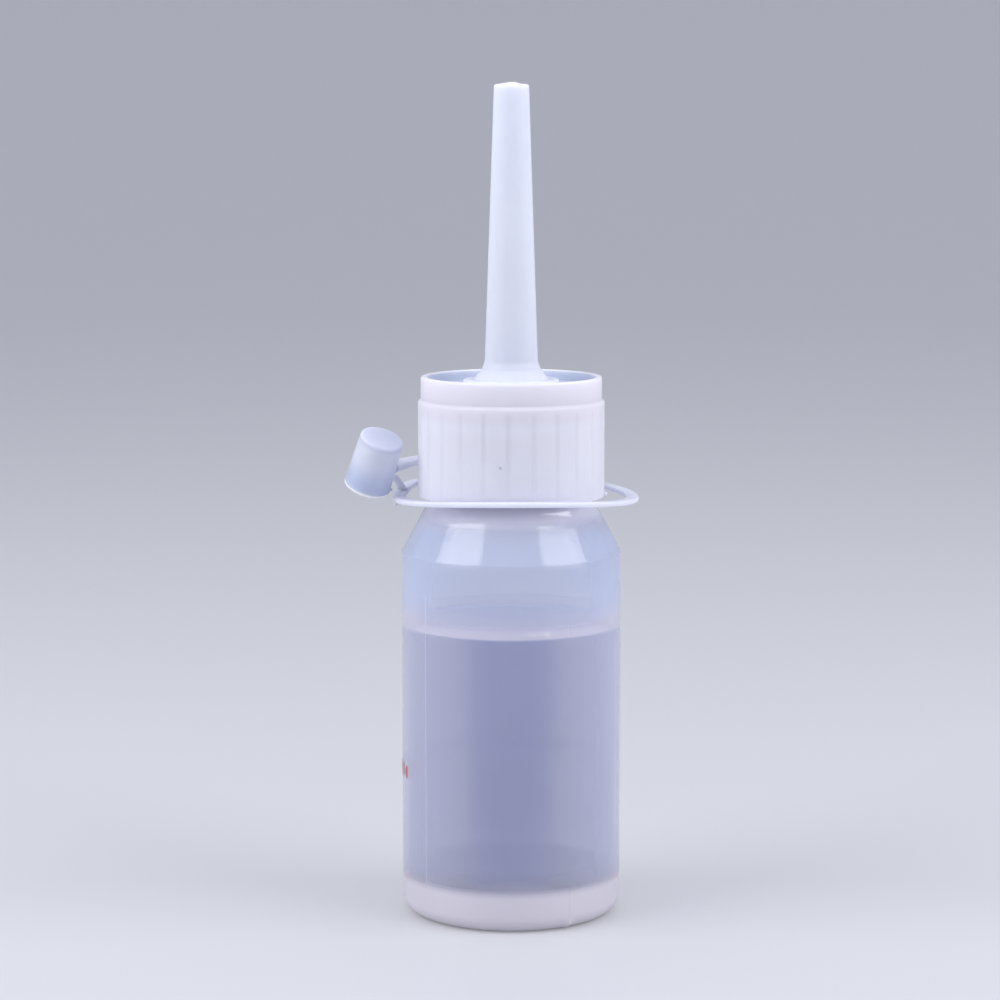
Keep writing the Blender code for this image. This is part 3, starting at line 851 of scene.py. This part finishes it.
def make_spout(material):
    """The insert, from its cut tip down to its plug. Rings up the side keep the faces short."""
    spout_side = []
    for share in (0.04, 0.15, 0.3, 0.45, 0.6, 0.75, 0.9):
        radius = TIP_RADIUS + (SPOUT_BASE_RADIUS - TIP_RADIUS) * share
        spout_side.append((radius, TIP_Z + (SPOUT_BASE_Z - TIP_Z) * share, 0))
    corners = [
        (ORIFICE_RADIUS, TIP_Z, 0.15),
        (TIP_RADIUS, TIP_Z, 0.5),
        *spout_side,
        (SPOUT_BASE_RADIUS, SPOUT_BASE_Z, 2.0),
        (SPOUT_BASE_RADIUS + 0.45, SPOUT_BASE_Z - 1.1, 1.5),
        (FLARE_RADIUS + 0.2, BOSS_Z, 0.4),
        (PORT_RADIUS - NOZZLE_GAP, BOSS_Z, 0.25),
        (PORT_RADIUS - NOZZLE_GAP, PANEL_BOTTOM_Z - NOZZLE_GAP, 0.1),
        (FLANGE_RADIUS, PANEL_BOTTOM_Z - NOZZLE_GAP, 0.15),
        (FLANGE_RADIUS, LIP_Z + NOZZLE_GAP, 0.15),
        (BORE_RADIUS - NOZZLE_GAP, LIP_Z + NOZZLE_GAP, 0.1),
        (BORE_RADIUS - NOZZLE_GAP, PLUG_FOOT_Z, 0.4),
        (BORE_RADIUS - 1.3, PLUG_FOOT_Z, 0.2),
        (BORE_RADIUS - 1.3, LIP_Z - 0.1, 0.5),
        (BORE_RADIUS - 2.3, LIP_Z + 0.8, 0.6),
        (FLARE_RADIUS - 0.6, BOSS_Z - 1.4, 0.8),
        (SPOUT_BASE_RADIUS - 0.9, SPOUT_BASE_Z, 1.5),
        (ORIFICE_RADIUS, TIP_Z - 4.0, 1.0),
    ]
    spout = turned("spout", rounded(corners, closed=True), even_angles(96), material, closed=True)
    for vertex in spout.data.vertices:
        near = (vertex.co.z / MM - TIP_Z + TORN_REACH) / TORN_REACH
        if near > 0:
            behind = math.degrees(math.atan2(vertex.co.x, vertex.co.y))
            left = math.exp(-((behind / 42.0) ** 2)) + 0.08 * math.sin(behind / 9.0)
            vertex.co.z -= TORN_DEPTH * MM * near * min(1.0, max(0.0, 1.0 - left))
    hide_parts("nozzle")
    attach(spout, "nozzle")


def rib_tree():
    """Draws a turned skirt's outside in between broad ribs, by a rule round its axis."""
    names = ("Rib Count", "Rib Phase", "Relief", "Skirt Radius", "Top Height")
    tree, inside, outside = tree_with("skirt_ribs", names)
    place = tree.nodes.new("GeometryNodeInputPosition").outputs[0]
    split = tree.nodes.new("ShaderNodeSeparateXYZ")
    link(tree, place, split.inputs[0])
    x, y, z = split.outputs
    angle = maths(tree, "ARCTAN2", y, x)
    radius = hypotenuse(tree, x, y)
    shifted = maths(tree, "SUBTRACT", angle, inside.outputs["Rib Phase"])
    wave = maths(tree, "COSINE", maths(tree, "MULTIPLY", shifted, inside.outputs["Rib Count"]))
    groove = ramp(tree, wave, 0.86, 0.99, 0.0, 1.0)
    just_inside = maths(tree, "SUBTRACT", inside.outputs["Skirt Radius"], 0.05 * MM)
    outer = maths(tree, "GREATER_THAN", radius, just_inside)
    below = maths(tree, "LESS_THAN", z, inside.outputs["Top Height"])
    depth = maths(tree, "MULTIPLY", maths(tree, "MULTIPLY", groove, outer), below)
    depth = maths(tree, "MULTIPLY", depth, inside.outputs["Relief"])
    scale = maths(tree, "SUBTRACT", 1.0, maths(tree, "DIVIDE", depth, radius))
    join = tree.nodes.new("ShaderNodeCombineXYZ")
    link(tree, maths(tree, "MULTIPLY", x, scale), join.inputs[0])
    link(tree, maths(tree, "MULTIPLY", y, scale), join.inputs[1])
    link(tree, z, join.inputs[2])
    move = tree.nodes.new("GeometryNodeSetPosition")
    link(tree, inside.outputs["Geometry"], move.inputs["Geometry"])
    link(tree, join.outputs[0], move.inputs["Position"])
    close_tree(tree, move.outputs["Geometry"], inside, outside)
    return tree


def close_tree(tree, geometry, inside, outside):
    """Ends a tree with Realize Instances and Set Material."""
    real = tree.nodes.new("GeometryNodeRealizeInstances")
    paint = tree.nodes.new("GeometryNodeSetMaterial")
    link(tree, geometry, real.inputs["Geometry"])
    link(tree, real.outputs["Geometry"], paint.inputs["Geometry"])
    link(tree, inside.outputs["Finish"], paint.inputs["Material"])
    link(tree, paint.outputs["Geometry"], outside.inputs["Geometry"])


def use_tree(piece, tree, **values):
    """Puts a tree on a piece with its named inputs, and leaves the piece as a plain mesh."""
    modifier = piece.modifiers.new(tree.name, "NODES")
    modifier.node_group = tree
    names = {item.name: item.identifier for item in tree.interface.items_tree if item.in_out == "INPUT"}
    for name, value in values.items():
        modifier[names[name.replace("_", " ")]] = value
    finish_nodes(piece)


def make_closure(material):
    corners = [
        (RIM_RADIUS, CAP_TOP_Z, 0.35),
        (RIM_RADIUS, SKIRT_TOP_Z + 0.25, 0.2),
        (SKIRT_RADIUS, SKIRT_TOP_Z - 0.1, 0.45),
        (SKIRT_RADIUS, RIB_TOP_Z + 0.02, 0),
        (SKIRT_RADIUS, RIB_TOP_Z - 0.12, 0),
        (SKIRT_RADIUS, CAP_FOOT_Z, 0.18),
        (CAP_BORE, CAP_FOOT_Z, 0.4),
        (CAP_BORE, CAP_STEP_Z, 0.6),
        (CAP_BORE - CAP_STEP, CAP_STEP_Z + CAP_STEP, 0.4),
        (CAP_BORE - CAP_STEP, PANEL_BOTTOM_Z, 0.5),
        (PORT_RADIUS, PANEL_BOTTOM_Z, 0.15),
        (PORT_RADIUS, PANEL_TOP_Z, 0.2),
        (RECESS_RADIUS, PANEL_TOP_Z, 0.4),
        (RECESS_RADIUS, CAP_TOP_Z, 0.3),
    ]
    closure = turned("closure", rounded(corners, closed=True), even_angles(288), material, closed=True)
    use_tree(
        closure, rib_tree(), Rib_Count=float(RIB_COUNT), Rib_Phase=RIB_PHASE, Relief=RIB_RELIEF * MM,
        Skirt_Radius=SKIRT_RADIUS * MM, Top_Height=RIB_TOP_Z * MM, Finish=material,
    )
    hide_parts("screw_cap")
    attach(closure, "screw_cap")


def ring_point(angle):
    x = RING_CENTRE.x + RING_RADIUS * math.cos(angle)
    y = RING_CENTRE.y + RING_RADIUS * math.sin(angle)
    away = (math.degrees(angle) - RING_KINK_AT + 180.0) % 360.0 - 180.0
    kink = RING_KINK * math.exp(-((away / RING_KINK_REACH) ** 2))
    return (x, y, RING_Z + RING_LIFT * math.sin(angle) ** 2 + kink)


def make_ring(material):
    path = [ring_point(angle) for angle in even_angles(160)]
    ring = swept("tether_band_ring", path, BAND_WIDTH, RING_THICKNESS, 0.25, True, material)
    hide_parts("tether_ring")
    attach(ring, "screw_cap")


def strap_point(share):
    """A point of the strap: in the ring at share 0, beside the tip cap at share 1."""
    angle = math.radians(STRAP_START + (STRAP_END - STRAP_START) * share)
    blend = min(1.0, share / 0.6)
    blend = blend * blend * (3 - 2 * blend)
    root_radius = RING_RADIUS + RING_CENTRE.x * math.cos(angle) + RING_CENTRE.y * math.sin(angle)
    root_z = RING_Z + RING_LIFT * math.sin(angle) ** 2
    radius = root_radius + (STRAP_RADIUS - root_radius) * blend
    radius += STRAP_REACH * max(0.0, (share - 0.86) / 0.14) ** 2
    return (radius * math.cos(angle), radius * math.sin(angle), root_z + (STRAP_Z - root_z) * blend)


def strap_swell(share):
    """Tucked inside the ring at its root, full in the middle, and spread where it meets the cup."""
    return 0.7 + 0.3 * min(1.0, share / 0.2) + 0.22 * max(0.0, (share - 0.8) / 0.2) ** 2


def strap_lean(share):
    """The strap rolls over towards the cup's own tilt as it reaches it."""
    return Vector((0.0, 0.0, 1.0)).lerp(TIP_CAP_AXIS, 0.9 * max(0.0, (share - 0.5) / 0.5))


def make_strap(material):
    path = [strap_point(i / 80) for i in range(81)]
    strap = swept(
        "tether_band_strap", path, BAND_WIDTH, BAND_THICKNESS, 0.3, False, material, strap_swell, strap_lean
    )
    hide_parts("tether_strap")
    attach(strap, "tether_strap")


def make_tie(material):
    tie = swept("tether_band_tie", TIE_POINTS, TIE_WIDTH, TIE_THICKNESS, 0.2, False, material)
    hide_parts("tether_tie")
    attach(tie, "screw_cap")


def make_tip_cap(material):
    half = TIP_CAP_LENGTH / 2
    corners = [
        (0.0, half, 0),
        (TIP_CAP_TOP_RADIUS, half, 0.35),
        (TIP_CAP_MOUTH_RADIUS, -half, 0.18),
        (TIP_CAP_MOUTH_RADIUS - TIP_CAP_WALL, -half, 0.15),
        (TIP_CAP_TOP_RADIUS - TIP_CAP_WALL, half - TIP_CAP_ROOF, 0.4),
        (0.0, half - TIP_CAP_ROOF, 0),
    ]
    cap = turned("tip_cup", rounded(corners), even_angles(96), material)
    tilt = Vector((0.0, 0.0, 1.0)).rotation_difference(TIP_CAP_AXIS).to_matrix().to_4x4()
    cap.data.transform(Matrix.Translation(TIP_CAP_CENTRE * MM) @ tilt)
    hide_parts("tip_cap")
    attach(cap, "tip_cap")


def make_nub(name, place, direction, length, radius, node, slot, body, material):
    """The stub left where a moulding was broken off its gate."""
    corners = [(0.0, length, 0), (radius * 0.75, length, radius * 0.5), (radius, -0.3, 0), (0.0, -0.3, 0)]
    nub = turned(name, rounded(corners, steps=4), even_angles(20), material)
    tilt = Vector((0.0, 0.0, 1.0)).rotation_difference(Vector(direction)).to_matrix().to_4x4()
    nub.data.transform(Matrix.Translation(Vector(place) * MM) @ tilt)
    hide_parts(node)
    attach(nub, body)


def make_nubs(tether, closure, tip_cap):
    """Gate stubs, the lug that joins strap to cup, and a pip in the skirt."""
    ring_end = (RING_LOW.x + 0.5, RING_CENTRE.y - 0.4, RING_Z - 0.4)
    on_ring = ("tether_ring", "tether_plastic", "screw_cap", tether)
    on_cup = ("tip_cap", "tip_cap_plastic", "tip_cap", tip_cap)
    on_skirt = ("screw_cap", "cap_plastic", "screw_cap", closure)
    make_nub("ring_gate_nub", ring_end, (-0.1, 0.0, -1.0), 0.8, 0.26, *on_ring)
    side = (Vector((1.0, 0.0, 0.0)) - TIP_CAP_AXIS * TIP_CAP_AXIS.x).normalized()
    edge = TIP_CAP_CENTRE - TIP_CAP_AXIS * (TIP_CAP_LENGTH / 2 - 0.35) + side * (TIP_CAP_MOUTH_RADIUS - 0.1)
    make_nub("cup_gate_nub", edge, side, 0.35, 0.3, *on_cup)
    lug = TIP_CAP_CENTRE + Vector((2.0, 1.95, -1.0))
    make_nub("cup_lug", lug, (0.80, 0.60, 0.0), 0.45, 0.85, *on_cup)
    foot = (SKIRT_RADIUS - 0.05, -1.2, CAP_FOOT_Z + 0.4)
    make_nub("skirt_foot_nub", foot, (1.0, -0.1, -0.15), 0.4, 0.34, *on_skirt)
    pip = (-1.6, -math.sqrt(SKIRT_RADIUS ** 2 - 1.6 ** 2), 66.4)
    make_nub("skirt_pip", pip, (-0.12, -1.0, 0.0), 0.08, 0.2, *on_skirt)


# ------------------------------------------------------------------ stage, in metres
FLOOR_FLAT = 1.3                # radius of the level part
FLOOR_REACH = 4.2
FLOOR_RISE = 1.3
BOX_DISTANCE = 0.5
BOX_TURN = math.radians(68.0)   # round from the front
BOX_FOOT = 0.17                 # clear of the floor, so that the floor stays even


def make_floor():
    """A pale round floor whose edge sweeps up smoothly all the way round."""
    steps, around = 24, 96
    path = [(FLOOR_FLAT * share, 0.0) for share in (0.1, 0.3, 0.6, 1.0)]
    for i in range(1, steps + 1):
        share = i / steps
        path.append((FLOOR_FLAT + (FLOOR_REACH - FLOOR_FLAT) * share, FLOOR_RISE * share ** 2.2))
    work = bmesh.new()
    rows = []
    for radius, z in path:
        rows.append([
            work.verts.new((radius * math.cos(turn), radius * math.sin(turn), z))
            for turn in even_angles(around)
        ])
    work.faces.new(rows[0])
    for first, second in zip(rows, rows[1:]):
        for i in range(around):
            j = (i + 1) % around
            work.faces.new((first[i], second[i], second[j], first[j]))
    mesh = bpy.data.meshes.new("sweep")
    work.to_mesh(mesh)
    work.free()
    mesh.shade_smooth()
    floor = add_object("sweep", mesh, floor_material())


def soft_box(name, place, target, width, height, watts, colour=(1.0, 1.0, 1.0)):
    data = bpy.data.lights.new(name, "AREA")
    data.shape = "RECTANGLE"
    data.size, data.size_y = width, height
    data.energy = watts
    data.color = colour
    light = bpy.data.objects.new(name, data)
    bpy.context.scene.collection.objects.link(light)
    light.location = place
    light.rotation_euler = (Vector(target) - Vector(place)).to_track_quat("-Z", "Y").to_euler()


def make_lights():
    """Two tall boxes at the front sides, a wide one overhead, and a pale surround."""
    middle = (0.0, 0.0, 0.06)
    width, height = 0.48, 0.5
    for name, side, watts in (("left_soft_box", -1, 2.75), ("right_soft_box", 1, 2.65)):
        across = side * BOX_DISTANCE * math.sin(BOX_TURN)
        place = (across, -BOX_DISTANCE * math.cos(BOX_TURN), BOX_FOOT + height / 2)
        soft_box(name, place, (0.0, 0.0, place[2] - 0.15), width, height, watts, (0.98, 0.985, 1.0))
    soft_box("top_soft_box", (0.0, 0.5, 1.9), middle, 2.6, 2.6, 4.0)
    world = bpy.data.worlds.new("studio")
    world.use_nodes = True
    world.node_tree.nodes["Background"].inputs["Color"].default_value = (0.84, 0.87, 1.0, 1.0)
    world.node_tree.nodes["Background"].inputs["Strength"].default_value = 0.74
    bpy.context.scene.world = world


def make_camera():
    """Seen from the front, a little above the cap, on a long portrait lens."""
    distance, height, side, aim_z = 0.4195, 0.1148, -0.00163, 0.0602
    data = bpy.data.cameras.new("front_camera")
    data.lens = 105.29
    data.sensor_width = 36.0
    data.clip_start = 0.01
    camera = bpy.data.objects.new("front_camera", data)
    bpy.context.scene.collection.objects.link(camera)
    camera.location = (side, -distance, height)
    aim = Vector((side, 0.0, aim_z))
    camera.rotation_euler = (aim - camera.location).to_track_quat("-Z", "Y").to_euler()
    bpy.context.scene.camera = camera


def main():
    make_camera()
    make_lights()
    make_floor()
    wall = bottle_material()
    make_bottle(wall)
    glue = glue_material()
    make_glue(glue)
    make_bubbles(bubble_material())
    make_label(label_material())
    make_spout(nozzle_material())
    closure = cap_material()
    make_closure(closure)
    make_threads(wall, closure)
    tether = tether_material()
    make_ring(tether)
    make_strap(tether)
    make_tie(tether)
    tip_cap = tip_cap_material()
    make_tip_cap(tip_cap)
    make_nubs(tether, closure, tip_cap)
    bpy.context.scene.view_settings.view_transform = "Standard"


main()
